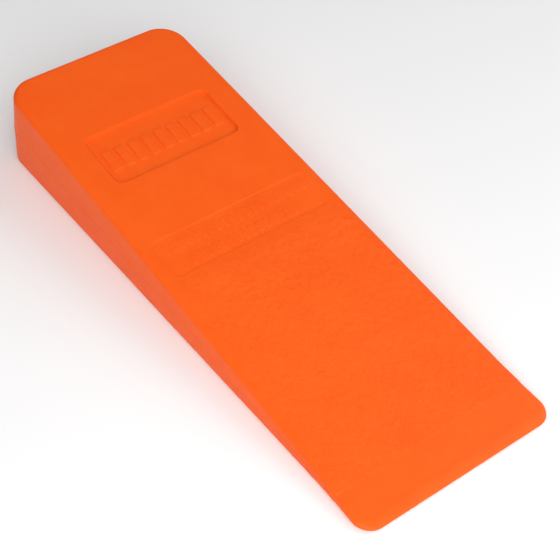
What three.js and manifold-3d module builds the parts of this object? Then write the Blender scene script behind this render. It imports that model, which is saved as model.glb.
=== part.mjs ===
// A felling wedge: one solid, injection-moulded plastic wedge, driven into a saw cut to tip a tree.
//
// It is modelled lying in its mould's parting plane: X runs along the length from the butt (0) to the
// tip, Y across the width, and Z is the height above the parting plane. The two driving faces taper
// alike about that plane. At the end the wedge is turned to lie on its lower face, on Z = 0.
// All sizes are in millimetres.
import * as THREE from "three";
import { mergeVertices } from "three/addons/utils/BufferGeometryUtils.js";
import Module from "manifold-3d";

// Overall size
const LENGTH = 203;
const BUTT_WIDTH = 70.4;
const TIP_WIDTH = 75.6;
const BUTT_THICKNESS = 30;
const TIP_THICKNESS = 2.1; // where the two driving faces would end without the steps and the nose

// Tip: a smooth band a little below each driving face, and a rounded nose
const TIP_LINE_X = LENGTH - 15.3;
const TIP_BAND_DEPTH = 0.15;
const NOSE_LENGTH = 4.5;
const NOSE_TAPER = 0.75; // 0 for an elliptical nose, 1 for a parabolic one
const NOSE_WALL_HALF_HEIGHT = 0.35;

// Plan: the sides widen slowly, then a little faster over the last stretch before the tip
const FLARE_X = LENGTH - 22.8;
const FLARE_WIDTH = 74;
const BUTT_CORNER_RADIUS = 10.4;
const TIP_CORNER_RADIUS = 6.2;

// Edges: mould draft on the sides and the butt, and a rounding that gets smaller towards the tip
const DRAFT = THREE.MathUtils.degToRad(0.95);
const BUTT_EDGE_RADIUS = 1.8;
const TIP_EDGE_RADIUS = 1.4;
const PARTING_RIDGE_DEPTH = 0.1; // the fine ridge that the two mould halves leave all the way round
const PARTING_RIDGE_HALF_HEIGHT = 0.25;

// Upper face: a recessed panel with a row of plain raised bars
const PANEL = { x: 46.4, length: 22.8, width: 49.8, corner: 3, divisions: 4, depth: 1 };
const PANEL_BARS = {
  x: 47.1, length: 9, width: 3.4, corner: 0.6, divisions: 1, height: 0.45, count: 9, pitch: 5.2 };

// Upper face: a shallow band with two rows of small raised bars, about level with the face
const BAND = { x: 91.8, length: 15.6, width: 62, corner: 2, divisions: 3, depth: 0.12 };
const BAND_BAR = { length: 3.8, width: 1.5, corner: 0.3, divisions: 1, height: 0.15, pitch: 2.9 };
const BAND_ROWS = [
  { ...BAND_BAR, x: 88.5, count: 20 },
  { ...BAND_BAR, x: 96, count: 16 },
];

// How finely the round stretches are divided
const CORNER_SEGMENTS = 12;
const EDGE_SEGMENTS = 6;

// The height that a cutter reaches above the face, and that a raised piece reaches below its floor
const OVERLAP = 0.5;

const HALF_TAPER = Math.atan((BUTT_THICKNESS - TIP_THICKNESS) / 2 / LENGTH);

const wasm = await Module();
wasm.setup();

function toSolid(geometry) {
  const bare = geometry.clone();
  bare.deleteAttribute("normal");
  bare.deleteAttribute("uv");
  const merged = mergeVertices(bare, 1e-4);
  return new wasm.Manifold(
    new wasm.Mesh({
      numProp: 3,
      vertProperties: merged.attributes.position.array,
      triVerts: new Uint32Array(merged.index.array),
    }),
  );
}

function toGeometry(solid) {
  const mesh = solid.getMesh();
  const indexed = new THREE.BufferGeometry();
  indexed.setAttribute("position", new THREE.BufferAttribute(mesh.vertProperties, 3));
  indexed.setIndex(new THREE.BufferAttribute(mesh.triVerts, 1));
  const flat = indexed.toNonIndexed();
  flat.computeVertexNormals();
  return flat;
}

// Half of the thickness at a distance x from the butt
function halfThickness(x) {
  const half = THREE.MathUtils.mapLinear(x, 0, LENGTH, BUTT_THICKNESS, TIP_THICKNESS) / 2;
  return x > TIP_LINE_X ? half - TIP_BAND_DEPTH : half;
}

// One rounded corner of the plan, as points that each carry the outline's outward normal
function cornerStations(centreX, centreY, radius, fromAngle, toAngle) {
  const arc = new THREE.EllipseCurve(centreX, centreY, radius, radius, fromAngle, toAngle, true);
  return arc.getPoints(CORNER_SEGMENTS).map((point, i) => {
    const angle = THREE.MathUtils.lerp(fromAngle, toAngle, i / CORNER_SEGMENTS);
    return { x: point.x, y: point.y, normalX: Math.cos(angle), normalY: Math.sin(angle) };
  });
}

// The parting line on the +Y side, from the butt to the tip
function halfOutline() {
  const buttY = BUTT_WIDTH / 2 - BUTT_CORNER_RADIUS;
  const tipY = TIP_WIDTH / 2 - TIP_CORNER_RADIUS;
  const tipCornerX = LENGTH - TIP_CORNER_RADIUS;
  const sideStation = (x) => ({
    x,
    y: THREE.MathUtils.mapLinear(x, FLARE_X, tipCornerX, FLARE_WIDTH / 2, TIP_WIDTH / 2),
    normalX: 0,
    normalY: 1,
  });
  return [
    ...cornerStations(BUTT_CORNER_RADIUS, buttY, BUTT_CORNER_RADIUS, Math.PI, Math.PI / 2),
    sideStation(FLARE_X),
    sideStation(TIP_LINE_X),
    sideStation(TIP_LINE_X + TIP_BAND_DEPTH),
    ...cornerStations(tipCornerX, tipY, TIP_CORNER_RADIUS, Math.PI / 2, 0),
  ];
}

// The edge's section at a station, from the face's rim down to the parting line: how far it lies in
// from the outline, and how high. The rounding at the nose is longer than the rounding at the sides.
function edgeProfile(station) {
  const inBand = station.x > TIP_LINE_X;
  const noseShare = inBand ? Math.max(0, station.normalX) ** 2 : 0;
  const sideRadius = THREE.MathUtils.mapLinear(
    Math.min(station.x, TIP_LINE_X), 0, TIP_LINE_X, BUTT_EDGE_RADIUS, TIP_EDGE_RADIUS);
  const inwards = THREE.MathUtils.lerp(sideRadius, NOSE_LENGTH, noseShare);
  const wallInset = PARTING_RIDGE_DEPTH + halfThickness(station.x) * Math.tan(DRAFT);
  const half = halfThickness(station.x - station.normalX * (wallInset + inwards));
  const downwards = Math.min(sideRadius, half - NOSE_WALL_HALF_HEIGHT);
  const profile = [];
  for (let i = 0; i <= EDGE_SEGMENTS; i++) {
    const share = i / EDGE_SEGMENTS;
    const angle = (Math.PI / 2) * share;
    const out = THREE.MathUtils.lerp(Math.sin(angle), share, NOSE_TAPER * noseShare);
    const down = THREE.MathUtils.lerp(1 - Math.cos(angle), share ** 2, NOSE_TAPER * noseShare);
    profile.push({ inset: wallInset + inwards * (1 - out), z: half - downwards * down });
  }
  profile.push({ inset: PARTING_RIDGE_DEPTH, z: PARTING_RIDGE_HALF_HEIGHT });
  profile.push({ inset: 0, z: 0 });
  return profile;
}

// The wedge without its face details: each station's section, joined to the next all the way round,
// and the two faces closed by strips across the width
function wedgeBlank() {
  const right = halfOutline();
  const left = right.map((s) => ({ ...s, y: -s.y, normalY: -s.normalY })).reverse();
  const stations = [...right, ...left];
  const vertices = [];
  for (const station of stations) {
    const upper = edgeProfile(station);
    const lower = upper.slice(0, -1).reverse().map(({ inset, z }) => ({ inset, z: -z }));
    for (const { inset, z } of [...upper, ...lower]) {
      vertices.push(station.x - station.normalX * inset, station.y - station.normalY * inset, z);
    }
  }
  const perStation = vertices.length / 3 / stations.length;
  const vertexAt = (station, level) => (station % stations.length) * perStation + level;
  const triangles = [];
  const addQuad = (a, b, c, d) => triangles.push(a, b, c, a, c, d);
  for (let s = 0; s < stations.length; s++) {
    for (let level = 0; level < perStation - 1; level++) {
      addQuad(
        vertexAt(s, level), vertexAt(s + 1, level),
        vertexAt(s + 1, level + 1), vertexAt(s, level + 1));
    }
  }
  const topLevel = 0;
  const bottomLevel = perStation - 1;
  for (let s = 0; s < right.length - 1; s++) {
    const mirrored = stations.length - 1 - s;
    addQuad(
      vertexAt(s, topLevel), vertexAt(mirrored, topLevel),
      vertexAt(mirrored - 1, topLevel), vertexAt(s + 1, topLevel));
    addQuad(
      vertexAt(s, bottomLevel), vertexAt(s + 1, bottomLevel),
      vertexAt(mirrored - 1, bottomLevel), vertexAt(mirrored, bottomLevel));
  }
  const blank = new THREE.BufferGeometry();
  blank.setAttribute("position", new THREE.Float32BufferAttribute(vertices, 3));
  blank.setIndex(triangles);
  return blank;
}

// A rounded rectangle on the upper face, from one height to another above the face.
// Its x is measured along the parting plane, and y from the middle.
function faceBlock({ x, length, width, corner, divisions }, y, bottom, top) {
  const outline = new THREE.Shape();
  const halfLength = length / 2;
  const halfWidth = width / 2;
  const quarter = Math.PI / 2;
  outline.moveTo(-halfLength + corner, -halfWidth);
  outline.absarc(halfLength - corner, -halfWidth + corner, corner, -quarter, 0);
  outline.absarc(halfLength - corner, halfWidth - corner, corner, 0, quarter);
  outline.absarc(-halfLength + corner, halfWidth - corner, corner, quarter, 2 * quarter);
  outline.absarc(-halfLength + corner, -halfWidth + corner, corner, 2 * quarter, 3 * quarter);
  const block = new THREE.ExtrudeGeometry(outline, {
    depth: top - bottom,
    bevelEnabled: false,
    curveSegments: divisions,
  });
  block.translate(0, y, bottom);
  block.rotateY(HALF_TAPER);
  block.translate(x, 0, halfThickness(x));
  return toSolid(block);
}

// A row of raised bars across the width, standing on a floor below the face
function addBars(solid, bars, floorDepth) {
  for (let i = 0; i < bars.count; i++) {
    const y = (i - (bars.count - 1) / 2) * bars.pitch;
    const top = bars.height - floorDepth;
    solid = solid.add(faceBlock(bars, y, -floorDepth - OVERLAP, top));
  }
  return solid;
}

function wedgeBody() {
  let solid = toSolid(wedgeBlank());
  for (const recess of [PANEL, BAND]) {
    solid = solid.subtract(faceBlock(recess, 0, -recess.depth, OVERLAP));
  }
  solid = addBars(solid, PANEL_BARS, PANEL.depth);
  for (const row of BAND_ROWS) {
    solid = addBars(solid, row, BAND.depth);
  }
  const plastic = new THREE.MeshStandardMaterial({ color: 0xff5a12, roughness: 0.45, metalness: 0 });
  const mesh = new THREE.Mesh(toGeometry(solid), plastic);
  mesh.name = "wedge_body";
  return mesh;
}

// Turned onto its lower face, and moved until the middle of its box's base is at the origin
const wedge = new THREE.Group();
wedge.add(wedgeBody());
wedge.rotation.y = HALF_TAPER;
wedge.updateMatrixWorld(true);
const box = new THREE.Box3().setFromObject(wedge, true);
const middle = box.getCenter(new THREE.Vector3());
wedge.position.set(-middle.x, -middle.y, -box.min.z);

export default wedge;
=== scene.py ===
import math

import bpy
import numpy as np
from mathutils import Matrix, Quaternion, Vector
from mathutils.geometry import delaunay_2d_cdt


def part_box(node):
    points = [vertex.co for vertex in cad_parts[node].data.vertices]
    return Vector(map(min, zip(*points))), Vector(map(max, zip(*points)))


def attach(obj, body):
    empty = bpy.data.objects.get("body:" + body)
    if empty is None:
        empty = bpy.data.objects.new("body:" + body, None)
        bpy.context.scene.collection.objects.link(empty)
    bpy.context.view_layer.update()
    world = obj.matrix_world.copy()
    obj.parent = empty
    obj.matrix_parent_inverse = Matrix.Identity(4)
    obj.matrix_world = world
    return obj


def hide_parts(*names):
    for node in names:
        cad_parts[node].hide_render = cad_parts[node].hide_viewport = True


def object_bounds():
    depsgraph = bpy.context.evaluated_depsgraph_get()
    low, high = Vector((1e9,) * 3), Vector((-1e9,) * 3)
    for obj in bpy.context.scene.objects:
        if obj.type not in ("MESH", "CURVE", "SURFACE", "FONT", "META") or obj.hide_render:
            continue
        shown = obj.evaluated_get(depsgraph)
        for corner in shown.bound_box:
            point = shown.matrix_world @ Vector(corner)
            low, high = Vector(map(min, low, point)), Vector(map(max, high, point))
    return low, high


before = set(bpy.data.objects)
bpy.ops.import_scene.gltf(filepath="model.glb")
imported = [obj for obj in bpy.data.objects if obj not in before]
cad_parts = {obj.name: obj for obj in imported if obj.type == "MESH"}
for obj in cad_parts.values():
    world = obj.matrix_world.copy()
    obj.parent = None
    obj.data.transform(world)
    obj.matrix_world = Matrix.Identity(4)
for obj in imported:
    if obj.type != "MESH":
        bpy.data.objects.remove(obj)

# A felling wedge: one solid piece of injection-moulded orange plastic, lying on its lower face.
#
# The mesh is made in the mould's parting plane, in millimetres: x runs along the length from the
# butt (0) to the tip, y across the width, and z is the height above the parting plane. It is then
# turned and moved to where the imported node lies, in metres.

cad_low, cad_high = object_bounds()

MM = 0.001

# Overall size
LENGTH = 203.0
BUTT_WIDTH = 70.4
TIP_WIDTH = 75.6
BUTT_THICKNESS = 30.0
TIP_THICKNESS = 2.1  # where the two driving faces would end without the steps and the nose
HALF_TAPER = math.atan((BUTT_THICKNESS - TIP_THICKNESS) / 2 / LENGTH)

# Tip: a smooth band a little below each driving face, and a rounded nose
TIP_LINE_X = LENGTH - 15.3
TIP_BAND_DEPTH = 0.15
TIP_STEP_LENGTH = 0.4
NOSE_LENGTH = 4.5
NOSE_TAPER = 0.75  # 0 for an elliptical nose, 1 for a parabolic one
NOSE_WALL_HALF_HEIGHT = 0.35  # of the blunt wall that the nose ends in

# Plan: the sides widen slowly, then a little faster over the last stretch before the tip
FLARE_X = LENGTH - 22.8
FLARE_WIDTH = 74.0
BUTT_CORNER_RADIUS = 10.4
TIP_CORNER_RADIUS = 6.2

# Edges: mould draft on the sides and the butt, and a rounding that gets smaller towards the tip
DRAFT = math.radians(0.95)
BUTT_EDGE_RADIUS = 1.8
TIP_EDGE_RADIUS = 1.4
PARTING_RIDGE_DEPTH = 0.1  # the fine ridge that the two mould halves leave all the way round
PARTING_RIDGE_HALF_HEIGHT = 0.25
RIDGE_ROUNDING = (0.3, 0.6)  # a point that rounds the ridge, as shares of its depth and half height

# Upper face: a recessed panel with a row of bars, and a shallow band with two rows of small bars
PANEL = {"x": 46.4, "length": 22.8, "width": 49.8, "corner": 3.0, "depth": 1.0}
PANEL_BARS = {
    "x": 47.1, "length": 9.0, "width": 3.4, "corner": 0.6, "height": 0.45, "count": 9, "pitch": 5.2,
}
BAND = {"x": 91.8, "length": 15.6, "width": 62.0, "corner": 2.0, "depth": 0.12}
BAND_BAR = {"length": 3.8, "width": 1.5, "corner": 0.3, "height": 0.15, "pitch": 2.9}
BAND_ROWS = [{**BAND_BAR, "x": 88.5, "count": 20}, {**BAND_BAR, "x": 96.0, "count": 16}]

# Rounding of the details' edges: at the top of a wall, at its foot, and the wall's slope
PANEL_EDGE = {"upper": 0.3, "lower": 0.25, "slope": math.radians(79)}
PANEL_BAR_EDGE = {"upper": 0.2, "lower": 0.15, "slope": math.radians(68)}
BAND_EDGE = {"upper": 0.5, "lower": 0.5, "slope": math.radians(12)}
BAND_BAR_EDGE = {"upper": 0.1, "lower": 0.1, "slope": math.radians(45)}

# Marks that the mould leaves: four ejector pins on the lower face, and the gate on the butt
EJECTOR_RADIUS = 4.0
EJECTOR_WALL_LENGTH = 0.2
EJECTOR_DEPTH = 0.12
EJECTOR_PLACES = [(x, y) for x in (28.0, 140.0) for y in (-20.0, 20.0)]
GATE_HALF_WIDTH = 4.0
GATE_HALF_HEIGHT = 1.6
GATE_SOFTNESS = 0.3
GATE_PROUD = 0.25

# The stretch of each driving face that has a grained finish
GRAIN_START_X = 99.0
GRAIN_FADE = 6.0

# How finely the shape is divided
EDGE_SEGMENTS = 12
CORNER_SEGMENTS = 28
SMALL_CORNER = 1.0  # details with corners up to this radius have fewer segments in them
DETAIL_CORNER_SEGMENTS = 8
SMALL_CORNER_SEGMENTS = 3
ARC_STEPS = 4
CIRCLE_SEGMENTS = 40
TIP_STEP_ROWS = 4
SIDE_SPACING = 3.0
FACE_SPACING = 2.6
FILL_CLEARANCE = 0.55 * FACE_SPACING  # between a line and the points that fill the stretch beside it
SMALLEST_RADIUS = 0.05  # of a corner that is drawn in
SMALLEST_RUN = 0.004  # between the lines of a wall
TOLERANCE = 1e-6

# The plastic: its two tones, the scales of its marks per metre, and their depths in metres
ORANGE_LIGHT = (0.90, 0.114, 0.0085, 1.0)
ORANGE_DARK = (0.88, 0.101, 0.0065, 1.0)
FLOW_SCALE = 60.0
SPECK_SCALE = 420.0
SPECK_STRENGTH = 0.25
MOTTLE_SCALE = 380.0
GRAIN_DEPTH = 0.45 * MM
SKIN_SCALE = 1100.0
SKIN_DEPTH = 0.03 * MM
SMOOTHEST = 0.36
ROUGHEST = 0.46
GRAIN_ROUGHNESS = 0.08  # added where the face is grained

# Studio: a round pale floor in metres, and the brightness of what lies round it
FLOOR_RADIUS = 0.75
FLOOR_SEGMENTS = 96
FLOOR_GAP = 0.05 * MM
FLOOR_DARK = (0.91, 0.91, 0.91, 1.0)
FLOOR_LIGHT = (0.93, 0.93, 0.93, 1.0)
HORIZON_TONE = 0.6
WALL_TONE = 0.28
WALL_HEIGHT = 0.15  # how far above the horizon the walls have reached their tone, as a sine
FAR_FLOOR_TONE = 0.3  # added to the horizon's tone below it
FAR_FLOOR_DEPTH = 0.04

# Camera: the point that it looks at, in millimetres, and where it looks from, in millimetres and degrees
CAMERA_TARGET = (15.142, -2.209, 12.0)
CAMERA_DISTANCE = 465.86
CAMERA_AZIMUTH = 49.53
CAMERA_ELEVATION = 45.57
CAMERA_ROLL = 3.742
CAMERA_LENS = 93.75
CAMERA_SENSOR_WIDTH = 36.0
CAMERA_NEAREST = 10 * MM


def lerp(a, b, share):
    return a + (b - a) * share


def smooth_step(share):
    share = min(max(share, 0.0), 1.0)
    return share * share * (3 - 2 * share)


def spaced(start, end, spacing):
    """Evenly spaced values from start to end, both included, no further apart than the spacing."""
    count = max(1, math.ceil(abs(end - start) / spacing))
    return [lerp(start, end, i / count) for i in range(count + 1)]


def circle(middle, radius, segments):
    """Points round a circle."""
    angles = [2 * math.pi * i / segments for i in range(segments)]
    return [(middle[0] + radius * math.cos(a), middle[1] + radius * math.sin(a)) for a in angles]


def half_thickness(x):
    """Height of the driving faces above and below the parting plane."""
    tapered = BUTT_THICKNESS / 2 - x * math.tan(HALF_TAPER)
    return tapered - TIP_BAND_DEPTH * smooth_step((x - TIP_LINE_X) / TIP_STEP_LENGTH)


# ---------------------------------------------------------------- outline and edge


def side_y(x):
    """The +Y side of the plan between its two corners."""
    tip_corner_x = LENGTH - TIP_CORNER_RADIUS
    slope = (TIP_WIDTH - FLARE_WIDTH) / 2 / (tip_corner_x - FLARE_X)
    if x < FLARE_X:
        slope = (FLARE_WIDTH - BUTT_WIDTH) / 2 / (FLARE_X - BUTT_CORNER_RADIUS)
    return FLARE_WIDTH / 2 + (x - FLARE_X) * slope


def corner_stations(centre_x, centre_y, radius, from_angle, to_angle):
    """A rounded corner of the plan, as (x, y, normal x, normal y)."""
    stations = []
    for i in range(CORNER_SEGMENTS + 1):
        angle = lerp(from_angle, to_angle, i / CORNER_SEGMENTS)
        c, s = math.cos(angle), math.sin(angle)
        stations.append((centre_x + radius * c, centre_y + radius * s, c, s))
    return stations


def half_outline():
    """The parting line on the +Y side, from the middle of the butt to the middle of the tip."""
    butt_y = BUTT_WIDTH / 2 - BUTT_CORNER_RADIUS
    tip_y = TIP_WIDTH / 2 - TIP_CORNER_RADIUS
    tip_corner_x = LENGTH - TIP_CORNER_RADIUS
    step_end_x = TIP_LINE_X + TIP_STEP_LENGTH
    gate_edge = GATE_HALF_WIDTH + GATE_SOFTNESS
    butt = spaced(0.0, GATE_HALF_WIDTH, SIDE_SPACING) + spaced(gate_edge, butt_y, SIDE_SPACING)
    side = spaced(BUTT_CORNER_RADIUS, FLARE_X, SIDE_SPACING)[1:]
    side += spaced(FLARE_X, TIP_LINE_X, SIDE_SPACING)[1:]
    side += spaced(TIP_LINE_X, step_end_x, TIP_STEP_LENGTH / TIP_STEP_ROWS)[1:]
    side += spaced(step_end_x, tip_corner_x, SIDE_SPACING)[1:-1]
    tip = spaced(tip_y, 0.0, SIDE_SPACING)[1:]
    quarter = math.pi / 2
    return [
        *((0.0, y, -1.0, 0.0) for y in butt[:-1]),
        *corner_stations(BUTT_CORNER_RADIUS, butt_y, BUTT_CORNER_RADIUS, 2 * quarter, quarter),
        *((x, side_y(x), 0.0, 1.0) for x in side),
        *corner_stations(tip_corner_x, tip_y, TIP_CORNER_RADIUS, quarter, 0.0),
        *((LENGTH, y, 1.0, 0.0) for y in tip),
    ]


def wall_shares():
    """Where a side wall has its rows of points: halfway, at the gate's edge, and at the ridge, as shares
    of the way down from its rounded edge."""
    wall_height = BUTT_THICKNESS / 2 - BUTT_EDGE_RADIUS - PARTING_RIDGE_HALF_HEIGHT
    gate_edge = GATE_HALF_HEIGHT - PARTING_RIDGE_HALF_HEIGHT
    return (0.5, 1 - (gate_edge + GATE_SOFTNESS) / wall_height, 1 - gate_edge / wall_height, 1.0)


def edge_section(station):
    """The edge's section at a station, from the upper face's rim down to the parting line, as
    (how far in from the outline, height)."""
    x, _, normal_x, _ = station
    in_band = smooth_step((x - TIP_LINE_X) / TIP_STEP_LENGTH)
    radius = lerp(BUTT_EDGE_RADIUS, TIP_EDGE_RADIUS, min(x, TIP_LINE_X) / TIP_LINE_X)
    nose_share = in_band * max(0.0, normal_x) ** 2
    inwards = lerp(radius, NOSE_LENGTH, nose_share)
    wall_inset = PARTING_RIDGE_DEPTH + half_thickness(x) * math.tan(DRAFT)
    rim_height = half_thickness(x - normal_x * (wall_inset + inwards))
    downwards = min(radius, rim_height - NOSE_WALL_HALF_HEIGHT)
    wall_top = rim_height - downwards
    section = []
    for i in range(EDGE_SEGMENTS + 1):
        share = i / EDGE_SEGMENTS
        angle = math.pi / 2 * share
        out = lerp(math.sin(angle), share, NOSE_TAPER * nose_share)
        down = lerp(1 - math.cos(angle), share**2, NOSE_TAPER * nose_share)
        section.append((wall_inset + inwards * (1 - out), rim_height - downwards * down))
    for share in wall_shares():
        inset = lerp(wall_inset, PARTING_RIDGE_DEPTH, share)
        section.append((inset, lerp(wall_top, PARTING_RIDGE_HALF_HEIGHT, share)))
    inset_share, height_share = RIDGE_ROUNDING
    section.append((PARTING_RIDGE_DEPTH * inset_share, PARTING_RIDGE_HALF_HEIGHT * height_share))
    section.append((0.0, 0.0))
    return section


def gate_share(y, z):
    """1 on the gate's scar and 0 off it, for a point on the butt, with a slope between the two."""
    across = (GATE_HALF_WIDTH + GATE_SOFTNESS - abs(y)) / GATE_SOFTNESS
    upwards = (GATE_HALF_HEIGHT + GATE_SOFTNESS - abs(z)) / GATE_SOFTNESS
    return smooth_step(across) * smooth_step(upwards)


# ---------------------------------------------------------------- the driving faces


def rounded_rectangle(shape, y, inset):
    """A rounded rectangle's outline, drawn in by the inset, or out where it is negative."""
    radius = max(shape["corner"] - inset, SMALLEST_RADIUS)
    steps = DETAIL_CORNER_SEGMENTS if shape["corner"] > SMALL_CORNER else SMALL_CORNER_SEGMENTS
    reach_x = shape["length"] / 2 - inset - radius
    reach_y = shape["width"] / 2 - inset - radius
    points = []
    for quarter, (sign_x, sign_y) in enumerate(((1, 1), (-1, 1), (-1, -1), (1, -1))):
        for i in range(steps + 1):
            angle = math.pi / 2 * (quarter + i / steps)
            points.append((
                shape["x"] + sign_x * reach_x + radius * math.cos(angle),
                y + sign_y * reach_y + radius * math.sin(angle),
            ))
    return points


def wall_section(height, edge):
    """A wall's section as (run, drop), from the top: a rounded edge, a slope and a rounded foot."""
    c, s = math.cos(edge["slope"]), math.sin(edge["slope"])
    upper, lower = edge["upper"], edge["lower"]
    straight = max(0.0, height - (upper + lower) * (1 - c))
    foot_run = upper * s + straight * c / s
    section = []
    for i in range(ARC_STEPS + 1):
        angle = edge["slope"] * i / ARC_STEPS
        section.append((upper * math.sin(angle), upper * (1 - math.cos(angle))))
    for i in range(ARC_STEPS + 1):
        angle = edge["slope"] * (1 - i / ARC_STEPS)
        run = foot_run + lower * (s - math.sin(angle))
        section.append((run, height - lower * (1 - math.cos(angle))))
    scale = height / section[-1][1]
    unique = [section[0]]
    for run, drop in section[1:]:
        if run - unique[-1][0] > SMALLEST_RUN:
            unique.append((run, drop * scale))
    return unique


class FacePatch:
    """One driving face in plan: lines of points, each with its drop below the face, and points on
    the open stretches between them, joined by a Delaunay triangulation."""

    def __init__(self, rim):
        self.points = list(rim)
        self.drops = [0.0] * len(rim)
        self.edges = [(i, (i + 1) % len(rim)) for i in range(len(rim))]
        self.rim_count = len(rim)

    def add_points(self, points, drop):
        first = len(self.points)
        self.points += points
        self.drops += [drop] * len(points)
        return list(range(first, len(self.points)))

    def add_loop(self, corners, drop):
        """A closed line through the corners."""
        points = []
        for a, b in zip(corners, [*corners[1:], corners[0]]):
            count = max(1, math.ceil(math.dist(a, b) / FACE_SPACING))
            for i in range(count):
                points.append((lerp(a[0], b[0], i / count), lerp(a[1], b[1], i / count)))
        line = self.add_points(points, drop)
        self.edges += zip(line, [*line[1:], line[0]])

    def add_crossing(self, start, end):
        """A straight line across the face, between two points of its rim."""
        a, b = self.points[start], self.points[end]
        count = max(1, math.ceil(math.dist(a, b) / FACE_SPACING))
        points = [(a[0], lerp(a[1], b[1], i / count)) for i in range(1, count)]
        line = [start, *self.add_points(points, 0.0), end]
        self.edges += zip(line, line[1:])

    def add_wall(self, shape, y, top_drop, height, edge, direction):
        """The wall of a recess (direction 1) or of a raised bar (direction -1)."""
        section = wall_section(height, edge)
        middle = section[-1][0] / 2
        for run, drop in section:
            self.add_loop(rounded_rectangle(shape, y, direction * (run - middle)), top_drop + drop)

    def fill(self, drop_at):
        """Adds points over the open stretches, clear of every line."""
        lines = np.array(self.points)
        rim = lines[:self.rim_count]
        low, high = rim.min(0), rim.max(0)
        row_gap = FACE_SPACING * math.sqrt(3) / 2
        for row, x in enumerate(np.arange(low[0] + row_gap, high[0], row_gap)):
            first_y = low[1] + FACE_SPACING / 2 * (row % 2)
            for y in np.arange(first_y, high[1], FACE_SPACING):
                gaps = np.hypot(lines[:, 0] - x, lines[:, 1] - y)
                if gaps.min() > FILL_CLEARANCE and is_inside(rim, x, y):
                    self.add_points([(float(x), float(y))], drop_at(x, y))

    def triangles(self):
        points = [Vector(point) for point in self.points]
        places, _, faces, sources, _, _ = delaunay_2d_cdt(points, self.edges, [], 1, TOLERANCE)
        if len(places) != len(points):
            raise RuntimeError(f"{len(points)} points became {len(places)}: the lines of a face cross")
        return [[sources[i][0] for i in face] for face in faces]


def is_inside(polygon, x, y):
    """Whether a point lies inside a closed outline, by how often a line from it crosses the outline."""
    ends = np.roll(polygon, -1, axis=0)
    spans = (polygon[:, 1] > y) != (ends[:, 1] > y)
    a, b = polygon[spans], ends[spans]
    crossing = a[:, 0] + (y - a[:, 1]) * (b[:, 0] - a[:, 0]) / (b[:, 1] - a[:, 1])
    return np.count_nonzero(x < crossing) % 2 == 1


def is_within(shape, y_middle, x, y):
    """Whether a point lies inside the box round a rounded rectangle that has its middle at y_middle."""
    return (abs(x - shape["x"]) < shape["length"] / 2
            and abs(y - y_middle) < shape["width"] / 2)


def face_patch(rim):
    """A driving face with the lines of its step down to the tip band."""
    patch = FacePatch(rim)
    count = len(rim)
    step_start = TIP_LINE_X - TOLERANCE
    step_end = TIP_LINE_X + TIP_STEP_LENGTH + TOLERANCE
    for i in range(1, count // 2):
        if step_start < rim[i][0] < step_end:
            patch.add_crossing(i, count - i)
    return patch


def bar_middles(bars):
    """Where the bars of a row lie across the width."""
    return [(i - (bars["count"] - 1) / 2) * bars["pitch"] for i in range(bars["count"])]


def add_bars(patch, bars, floor_drop, edge):
    """A row of raised bars across the width, standing on a floor below the face."""
    for y in bar_middles(bars):
        patch.add_wall(bars, y, floor_drop - bars["height"], bars["height"], edge, -1)


def upper_patch(rim):
    """The upper driving face, with the panel, the shallow band and their bars."""
    patch = face_patch(rim)
    patch.add_wall(PANEL, 0, 0.0, PANEL["depth"], PANEL_EDGE, 1)
    add_bars(patch, PANEL_BARS, PANEL["depth"], PANEL_BAR_EDGE)
    patch.add_wall(BAND, 0, 0.0, BAND["depth"], BAND_EDGE, 1)
    for bars in BAND_ROWS:
        add_bars(patch, bars, BAND["depth"], BAND_BAR_EDGE)

    def drop_at(x, y):
        if is_within(PANEL, 0, x, y):
            on_bar = any(is_within(PANEL_BARS, middle, x, y) for middle in bar_middles(PANEL_BARS))
            return PANEL["depth"] - (PANEL_BARS["height"] if on_bar else 0.0)
        return BAND["depth"] if is_within(BAND, 0, x, y) else 0.0

    patch.fill(drop_at)
    return patch


def lower_patch(rim):
    """The lower driving face, plain but for the round marks of the ejector pins."""
    patch = face_patch(rim)
    for middle in EJECTOR_PLACES:
        floor_radius = EJECTOR_RADIUS - EJECTOR_WALL_LENGTH
        patch.add_loop(circle(middle, EJECTOR_RADIUS, CIRCLE_SEGMENTS), 0.0)
        patch.add_loop(circle(middle, floor_radius, CIRCLE_SEGMENTS), EJECTOR_DEPTH)

    def drop_at(x, y):
        near = any(math.dist((x, y), place) < EJECTOR_RADIUS for place in EJECTOR_PLACES)
        return EJECTOR_DEPTH if near else 0.0

    patch.fill(drop_at)
    return patch


# ---------------------------------------------------------------- the whole mesh


def section_vertices(station):
    """A station's vertices, from the rim of the upper face round the edge to that of the lower face."""
    x, y, normal_x, normal_y = station
    upper = edge_section(station)
    lower = [(inset, -z) for inset, z in upper[-2::-1]]
    vertices = []
    for inset, z in upper + lower:
        vertex_x = x - normal_x * inset
        if normal_x < 0:
            vertex_x = lerp(vertex_x, -GATE_PROUD, gate_share(y, z))
        vertices.append((vertex_x, y - normal_y * inset, z))
    return vertices


def edge_faces(station_count, rows):
    """The quads that join each station's vertices to the next station's, all the way round."""
    faces = []
    for station in range(station_count):
        here = station * rows
        there = (station + 1) % station_count * rows
        for row in range(rows - 1):
            faces.append((here + row, there + row, there + row + 1, here + row + 1))
    return faces


def grain_share(x):
    """How much of the grained finish a driving face has at a distance x from the butt."""
    fade_in = smooth_step((x - GRAIN_START_X) / GRAIN_FADE)
    return fade_in * (1 - smooth_step((x - TIP_LINE_X) / TIP_STEP_LENGTH))


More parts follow.
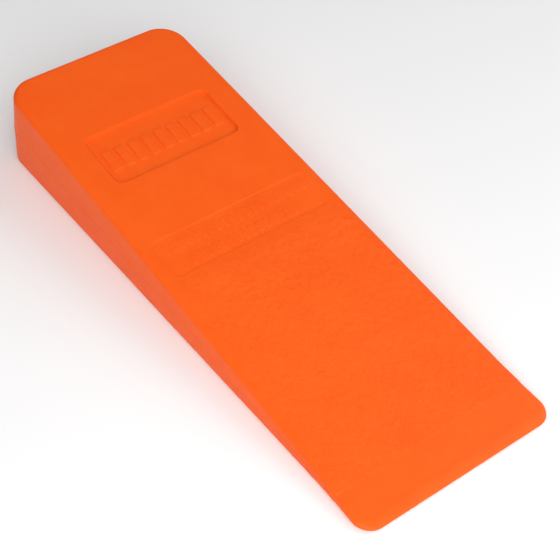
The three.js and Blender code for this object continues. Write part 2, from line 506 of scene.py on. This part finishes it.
def wedge_mesh():
    """The whole wedge as one closed mesh: the edge all the way round, and the two driving faces.
    Its attribute "grain" says where the faces are grained."""
    half = half_outline()
    mirrored = [(x, -y, nx, -ny) for x, y, nx, ny in half[-2:0:-1]]
    stations = half + mirrored
    vertices = [vertex for station in stations for vertex in section_vertices(station)]
    grain = [0.0] * len(vertices)
    rows = len(vertices) // len(stations)
    faces = edge_faces(len(stations), rows)
    for make_patch, rim_row, side in ((upper_patch, 0, 1), (lower_patch, rows - 1, -1)):
        places = [station * rows + rim_row for station in range(len(stations))]
        patch = make_patch([vertices[place][:2] for place in places])
        for (x, y), drop in zip(patch.points[patch.rim_count:], patch.drops[patch.rim_count:]):
            places.append(len(vertices))
            vertices.append((x, y, side * (half_thickness(x) - drop)))
            grain.append(grain_share(x))
        for triangle in patch.triangles():
            corners = [places[i] for i in triangle]
            faces.append(corners if side > 0 else corners[::-1])
    mesh = bpy.data.meshes.new("wedge")
    mesh.from_pydata([Vector(v) for v in vertices], [], faces)
    attribute = mesh.attributes.new("grain", "FLOAT", "POINT")
    attribute.data.foreach_set("value", grain)
    mesh.transform(resting_place())
    mesh.polygons.foreach_set("use_smooth", [True] * len(mesh.polygons))
    mesh.update()
    return mesh


def resting_place():
    """From the parting plane, in millimetres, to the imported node's place, in metres."""
    low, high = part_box("wedge_body")
    tip_x = LENGTH * MM * math.cos(HALF_TAPER)
    middle_z = BUTT_THICKNESS / 2 * MM * math.cos(HALF_TAPER)
    shift = Matrix.Translation((high.x - tip_x, (low.y + high.y) / 2, low.z + middle_z))
    return shift @ Matrix.Rotation(HALF_TAPER, 4, "Y") @ Matrix.Scale(MM, 4)


# ---------------------------------------------------------------- materials


def add_node(tree, kind, values=(), **settings):
    """A new node, with its inputs set to values or linked to other nodes' outputs."""
    node = tree.nodes.new(kind)
    for name, value in settings.items():
        setattr(node, name, value)
    for name, value in dict(values).items():
        if isinstance(value, bpy.types.NodeSocket):
            tree.links.new(value, node.inputs[name])
        else:
            node.inputs[name].default_value = value
    return node


def noise(tree, place, scale, detail=2.0, roughness=0.5):
    """A soft random pattern between 0 and 1."""
    return add_node(tree, "ShaderNodeTexNoise", {
        "Vector": place, "Scale": scale, "Detail": detail, "Roughness": roughness,
    }).outputs["Fac"]


def add(tree, a, b):
    return add_node(tree, "ShaderNodeMath", {0: a, 1: b}, operation="ADD").outputs[0]


def multiply(tree, a, b):
    return add_node(tree, "ShaderNodeMath", {0: a, 1: b}, operation="MULTIPLY").outputs[0]


def ramp(tree, value, low, high, to_low, to_high):
    """The value's range from low to high, stretched to another range and held at its ends."""
    return add_node(tree, "ShaderNodeMapRange", {
        "Value": value, "From Min": low, "From Max": high, "To Min": to_low, "To Max": to_high,
    }).outputs["Result"]


def mix_colours(tree, share, a, b):
    """Colour a where the share is 0, and colour b where it is 1."""
    node = add_node(tree, "ShaderNodeMix", data_type="RGBA")
    tree.links.new(share, node.inputs["Factor"])
    for name, value in (("A", a), ("B", b)):
        socket = next(s for s in node.inputs if s.name == name and s.type == "RGBA")
        if isinstance(value, bpy.types.NodeSocket):
            tree.links.new(value, socket)
        else:
            socket.default_value = value
    return next(s for s in node.outputs if s.type == "RGBA")


def new_material(name):
    """A new material, with its node tree, its shader and the place that its patterns are laid out in."""
    material = bpy.data.materials.new(name)
    material.use_nodes = True
    tree = material.node_tree
    place = add_node(tree, "ShaderNodeTexCoord").outputs["Object"]
    return material, tree, tree.nodes["Principled BSDF"], place


def plastic_colour(tree, place):
    """Two close tones of orange in slight flow marks, with a few fine specks of the darker tone."""
    flow = noise(tree, place, FLOW_SCALE, detail=6.0, roughness=0.7)
    specks = noise(tree, place, SPECK_SCALE, detail=3.0)
    colour = mix_colours(tree, ramp(tree, flow, 0.35, 0.65, 0, 1), ORANGE_DARK, ORANGE_LIGHT)
    return mix_colours(tree, ramp(tree, specks, 0.62, 0.72, 0, SPECK_STRENGTH), colour, ORANGE_DARK)


def moulded_plastic():
    """Satin orange plastic: slight flow marks in the colour, a fine skin all over, and a soft,
    irregular grain on the stretch of the driving faces that the mesh marks."""
    material, tree, shader, place = new_material("orange_plastic")
    grained = add_node(tree, "ShaderNodeAttribute", attribute_name="grain").outputs["Fac"]
    mottle = noise(tree, place, MOTTLE_SCALE, detail=4.0, roughness=0.6)
    skin = noise(tree, place, SKIN_SCALE)

    roughness = add(
        tree,
        ramp(tree, mottle, 0.3, 0.7, SMOOTHEST, ROUGHEST),
        multiply(tree, grained, GRAIN_ROUGHNESS),
    )
    height = add(
        tree,
        multiply(tree, multiply(tree, mottle, grained), GRAIN_DEPTH),
        multiply(tree, skin, SKIN_DEPTH),
    )
    bump = add_node(tree, "ShaderNodeBump", {"Height": height, "Strength": 1.0, "Distance": 1.0})
    tree.links.new(plastic_colour(tree, place), shader.inputs["Base Color"])
    tree.links.new(roughness, shader.inputs["Roughness"])
    tree.links.new(bump.outputs["Normal"], shader.inputs["Normal"])
    shader.inputs["IOR"].default_value = 1.5
    shader.inputs["Specular IOR Level"].default_value = 0.15
    shader.inputs["Subsurface Weight"].default_value = 0.1
    shader.inputs["Subsurface Radius"].default_value = (1.0, 0.25, 0.05)
    shader.inputs["Subsurface Scale"].default_value = 3 * MM
    return material


def floor_material():
    """A matt pale floor, with a very slight change of tone across it."""
    material, tree, shader, place = new_material("studio_floor")
    tone = mix_colours(tree, noise(tree, place, 3), FLOOR_DARK, FLOOR_LIGHT)
    tree.links.new(tone, shader.inputs["Base Color"])
    shader.inputs["Roughness"].default_value = 0.9
    shader.inputs["Specular IOR Level"].default_value = 0.1
    return material


# ---------------------------------------------------------------- studio


def direction(azimuth, elevation):
    """The unit vector from the object towards a place seen at that azimuth and elevation."""
    a, e = math.radians(azimuth), math.radians(elevation)
    return Vector((math.sin(a) * math.cos(e), -math.cos(a) * math.cos(e), math.sin(e)))


def add_floor():
    mesh = bpy.data.meshes.new("floor")
    rim = [(x, y, 0.0) for x, y in circle((0.0, 0.0), FLOOR_RADIUS, FLOOR_SEGMENTS)]
    mesh.from_pydata(rim, [], [range(FLOOR_SEGMENTS)])
    mesh.materials.append(floor_material())
    floor = bpy.data.objects.new("floor", mesh)
    floor.location.z = cad_low.z - FLOOR_GAP
    bpy.context.scene.collection.objects.link(floor)


def add_softbox(name, azimuth, elevation, distance, size, power):
    """A round soft light that shines on the wedge: distance and size in metres, power in watts."""
    light = bpy.data.lights.new(name, "AREA")
    light.shape = "DISK"
    light.size = size
    light.energy = power
    lamp = bpy.data.objects.new(name, light)
    back = direction(azimuth, elevation)
    lamp.location = back * distance
    lamp.rotation_mode = "QUATERNION"
    lamp.rotation_quaternion = back.to_track_quat("Z", "Y")
    bpy.context.scene.collection.objects.link(lamp)


def add_lights():
    add_softbox("key", azimuth=38, elevation=44, distance=0.9, size=0.8, power=3.95)
    add_softbox("tip_side", azimuth=74, elevation=30, distance=0.65, size=0.6, power=2.6)
    add_softbox("back", azimuth=160, elevation=40, distance=0.9, size=0.8, power=3.0)


def add_surroundings():
    """A plain studio: pale walls that get darker towards the ceiling, and a paler far floor."""
    world = bpy.data.worlds.new("studio")
    world.use_nodes = True
    bpy.context.scene.world = world
    tree = world.node_tree
    place = add_node(tree, "ShaderNodeTexCoord").outputs["Generated"]
    up = add_node(tree, "ShaderNodeSeparateXYZ", {"Vector": place}).outputs["Z"]
    walls = ramp(tree, up, 0.0, WALL_HEIGHT, HORIZON_TONE, WALL_TONE)
    far_floor = ramp(tree, up, -FAR_FLOOR_DEPTH, 0.0, FAR_FLOOR_TONE, 0.0)
    tree.links.new(add(tree, walls, far_floor), tree.nodes["Background"].inputs["Color"])


def add_camera():
    camera_data = bpy.data.cameras.new("camera")
    camera_data.lens = CAMERA_LENS
    camera_data.sensor_width = CAMERA_SENSOR_WIDTH
    camera_data.clip_start = CAMERA_NEAREST
    camera = bpy.data.objects.new("camera", camera_data)
    back = direction(CAMERA_AZIMUTH, CAMERA_ELEVATION)
    roll = Quaternion((0, 0, 1), math.radians(CAMERA_ROLL))
    camera.location = (Vector(CAMERA_TARGET) + back * CAMERA_DISTANCE) * MM
    camera.rotation_mode = "QUATERNION"
    camera.rotation_quaternion = back.to_track_quat("Z", "Y") @ roll
    bpy.context.scene.collection.objects.link(camera)
    bpy.context.scene.camera = camera


def add_wedge():
    wedge = bpy.data.objects.new("wedge", wedge_mesh())
    bpy.context.scene.collection.objects.link(wedge)
    wedge.data.materials.append(moulded_plastic())
    weighted = wedge.modifiers.new("face_weighted_normals", "WEIGHTED_NORMAL")
    weighted.mode = "FACE_AREA"
    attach(wedge, "root")
    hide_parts("wedge_body")


add_wedge()
add_floor()
add_surroundings()
add_lights()
add_camera()
bpy.context.scene.view_settings.view_transform = "Standard"
